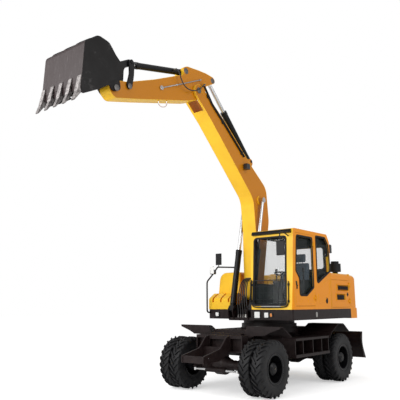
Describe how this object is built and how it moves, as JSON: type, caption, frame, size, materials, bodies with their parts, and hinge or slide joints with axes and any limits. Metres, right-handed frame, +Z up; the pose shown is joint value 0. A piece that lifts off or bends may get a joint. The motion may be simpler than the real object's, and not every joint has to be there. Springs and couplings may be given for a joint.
{
  "type": "wheeled excavator",
  "caption": "Wheeled excavator on twin tyres with slewing upper body, cab, dozer blade, boom, arm and bucket worked by cylinders.",
  "frame": {"origin": "on the ground, under the middle of the whole machine's box", "axes": "+X towards the bucket, +Y to the operator's left, +Z up"},
  "size_m": [8.0264, 2.49, 6.3604],
  "materials": {
    "dark": "satin",
    "yellow": "satin",
    "orange": "satin",
    "black": "satin",
    "chrome": "polished",
    "iron": "matte",
    "bucket_steel": "matte",
    "tyre": "matte",
    "glass": "polished",
    "seat_cloth": "matte",
    "black_plastic": "matte",
    "lamp": "gloss",
    "hose": "matte"
  },
  "bodies": {
    "chassis": {"chassis_frame": "dark", "slew_race_lower": "dark", "front_bracket": "dark", "front_axle": "dark", "rear_axle": "dark", "driveline": "dark", "fenders": "dark", "side_steps": "dark"},
    "knuckle_left": {"knuckle_left": "dark"},
    "knuckle_right": {"knuckle_right": "dark"},
    "steering_rod": {"steering_rod": "chrome"},
    "wheel_front_left": {"tyres_front_left": "tyre", "rims_front_left": "black"},
    "wheel_front_right": {"tyres_front_right": "tyre", "rims_front_right": "black"},
    "wheel_rear_left": {"tyres_rear_left": "tyre", "rims_rear_left": "black"},
    "wheel_rear_right": {"tyres_rear_right": "tyre", "rims_rear_right": "black"},
    "blade": {"blade": "dark"},
    "blade_barrels": {"blade_cylinder_barrels": "black"},
    "blade_rods": {"blade_cylinder_rods": "chrome"},
    "upper": {"upper_frame": "dark", "counterweight": "orange", "engine_housing": "yellow", "engine_block": "iron", "right_tank": "yellow", "cab_shell": "yellow", "cab_glass": "glass", "cab_visor": "black", "seat": "seat_cloth", "console": "black_plastic", "front_guard": "black", "mirrors": "black_plastic", "hand_rail": "black", "pre_cleaner": "black_plastic", "deck_lamps": "lamp", "work_lamps": "lamp", "foot_hoses": "hose"},
    "cab_door": {"cab_door": "yellow", "door_pane": "glass"},
    "hood_lid": {"hood_lid": "yellow"},
    "side_door_left": {"side_door_left": "yellow"},
    "side_door_right": {"side_door_right": "yellow"},
    "boom": {"boom": "yellow", "boom_lamp": "lamp"},
    "boom_barrels": {"boom_cylinder_barrels": "black"},
    "boom_rods": {"boom_cylinder_rods": "chrome"},
    "arm": {"arm": "yellow", "crossing_hose": "hose", "loop_hose": "hose"},
    "arm_barrel": {"arm_cylinder_barrel": "black"},
    "arm_rod": {"arm_cylinder_rod": "chrome"},
    "side_links": {"side_links": "dark"},
    "bucket_link": {"bucket_link": "dark"},
    "bucket": {"bucket": "bucket_steel", "bucket_teeth": "bucket_steel"},
    "bucket_barrel": {"bucket_cylinder_barrel": "black"},
    "bucket_rod": {"bucket_cylinder_rod": "chrome"}
  },
  "joints": [
    {"name": "slew", "type": "hinge", "parent": "chassis", "child": "upper", "pos_m": [-1.72818, 0, 1.25], "axis": [0, 0, 1], "continuous": true},
    {"name": "steering", "type": "hinge", "parent": "chassis", "child": "knuckle_left", "pos_m": [-0.00818, 0.56, 0.509], "axis": [0, 0, 1], "range_deg": [-28, 28]},
    {"name": "steering_right", "type": "hinge", "parent": "chassis", "child": "knuckle_right", "pos_m": [-0.00818, -0.56, 0.509], "axis": [0, 0, 1], "range_deg": [-28, 28]},
    {"name": "steering_rod_slide", "type": "slide", "parent": "chassis", "child": "steering_rod", "axis": [0, -1, 0], "range_m": [-0.105, 0.105]},
    {"name": "wheel_front_left_roll", "type": "hinge", "parent": "knuckle_left", "child": "wheel_front_left", "pos_m": [-0.00818, 0.958, 0.509], "axis": [0, 1, 0], "continuous": true},
    {"name": "wheel_front_right_roll", "type": "hinge", "parent": "knuckle_right", "child": "wheel_front_right", "pos_m": [-0.00818, -0.958, 0.509], "axis": [0, 1, 0], "continuous": true},
    {"name": "wheel_rear_left_roll", "type": "hinge", "parent": "chassis", "child": "wheel_rear_left", "pos_m": [-2.80818, 0.958, 0.509], "axis": [0, 1, 0], "continuous": true},
    {"name": "wheel_rear_right_roll", "type": "hinge", "parent": "chassis", "child": "wheel_rear_right", "pos_m": [-2.80818, -0.958, 0.509], "axis": [0, 1, 0], "continuous": true},
    {"name": "blade_lift", "type": "hinge", "parent": "chassis", "child": "blade", "pos_m": [-3.08818, 0, 0.6], "axis": [0, 1, 0], "range_deg": [-32, 6]},
    {"name": "blade_barrel_swing", "type": "hinge", "parent": "chassis", "child": "blade_barrels", "pos_m": [-3.34818, 0, 1.01], "axis": [0, 1, 0], "range_deg": [-20.12, 4.18]},
    {"name": "blade_rod_slide", "type": "slide", "parent": "blade_barrels", "child": "blade_rods", "axis": [-0.5939, 0, -0.8046], "range_m": [-0.0454, 0.2337]},
    {"name": "cab_door_swing", "type": "hinge", "parent": "upper", "child": "cab_door", "pos_m": [-1.65518, 1.216, 2.28], "axis": [0, 0, 1], "range_deg": [0, 170]},
    {"name": "hood_lid_lift", "type": "hinge", "parent": "upper", "child": "hood_lid", "pos_m": [-3.31518, 0, 2.351], "axis": [0, -1, 0], "range_deg": [0, 70]},
    {"name": "left_side_door_swing", "type": "hinge", "parent": "upper", "child": "side_door_left", "pos_m": [-3.31518, 1.216, 1.9], "axis": [0, 0, 1], "range_deg": [0, 100]},
    {"name": "right_side_door_swing", "type": "hinge", "parent": "upper", "child": "side_door_right", "pos_m": [-3.31518, -1.216, 1.9], "axis": [0, 0, -1], "range_deg": [0, 100]},
    {"name": "boom_lift", "type": "hinge", "parent": "upper", "child": "boom", "pos_m": [-1.36818, -0.12, 1.85], "axis": [0, -1, 0], "range_deg": [-98, 3], "deforming": ["foot_hoses"]},
    {"name": "boom_barrel_swing", "type": "hinge", "parent": "upper", "child": "boom_barrels", "pos_m": [-0.86818, -0.12, 1.55], "axis": [0, -1, 0], "range_deg": [-101.45, 3.59]},
    {"name": "boom_rod_slide", "type": "slide", "parent": "boom_barrels", "child": "boom_rods", "axis": [-0.2169, 0, 0.9762], "range_m": [-0.876, 0.0288]},
    {"name": "arm_crowd", "type": "hinge", "parent": "boom", "child": "arm", "pos_m": [0.73982, -0.12, 5.88223], "axis": [0, 1, 0], "range_deg": [-48, 67], "deforming": ["crossing_hose"]},
    {"name": "arm_barrel_swing", "type": "hinge", "parent": "boom", "child": "arm_barrel", "pos_m": [-1.2401, -0.12, 4.82975], "axis": [0, 1, 0], "range_deg": [-4.93, 6.69]},
    {"name": "arm_rod_slide", "type": "slide", "parent": "arm_barrel", "child": "arm_rod", "axis": [0.7114, 0, 0.7028], "range_m": [-0.4802, 0.6694]},
    {"name": "bucket_curl", "type": "hinge", "parent": "arm", "child": "bucket", "pos_m": [2.90978, -0.12, 5.24357], "axis": [0, 1, 0], "range_deg": [-15, 120]},
    {"name": "side_link_swing", "type": "hinge", "parent": "arm", "child": "side_links", "pos_m": [2.59982, -0.12, 5.37337], "axis": [0, 1, 0], "range_deg": [-10.86, 83.39]},
    {"name": "bucket_link_swing", "type": "hinge", "parent": "side_links", "child": "bucket_link", "pos_m": [2.55972, -0.12, 5.84279], "axis": [0, 1, 0], "range_deg": [-36.69, 5.02]},
    {"name": "bucket_barrel_swing", "type": "hinge", "parent": "arm", "child": "bucket_barrel", "pos_m": [1.06956, -0.12, 6.20214], "axis": [0, 1, 0], "range_deg": [-1.29, 6.8]},
    {"name": "bucket_rod_slide", "type": "slide", "parent": "bucket_barrel", "child": "bucket_rod", "axis": [0.9721, 0, -0.2344], "range_m": [-0.076, 0.5938]}
  ],
  "couplings": [
    {"joint": "steering_right", "follows": "steering", "ratio": 1},
    {"joint": "steering_rod_slide", "follows": "steering", "m_per_rad": -0.196},
    {"joint": "blade_barrel_swing", "follows": "blade_lift", "ratio": 0.61323},
    {"joint": "blade_rod_slide", "follows": "blade_lift", "m_per_rad": -0.41488},
    {"joint": "boom_barrel_swing", "follows": "boom_lift", "ratio": 1.0301},
    {"joint": "boom_rod_slide", "follows": "boom_lift", "m_per_rad": 0.51096},
    {"joint": "arm_barrel_swing", "follows": "arm_crowd", "ratio": 0.092328},
    {"joint": "arm_rod_slide", "follows": "arm_crowd", "m_per_rad": 0.57077},
    {"joint": "side_link_swing", "follows": "bucket_curl", "ratio": 0.69075},
    {"joint": "bucket_link_swing", "follows": "bucket_curl", "ratio": -0.30155},
    {"joint": "bucket_barrel_swing", "follows": "bucket_curl", "ratio": 0.052521},
    {"joint": "bucket_rod_slide", "follows": "bucket_curl", "m_per_rad": 0.28257}
  ]
}
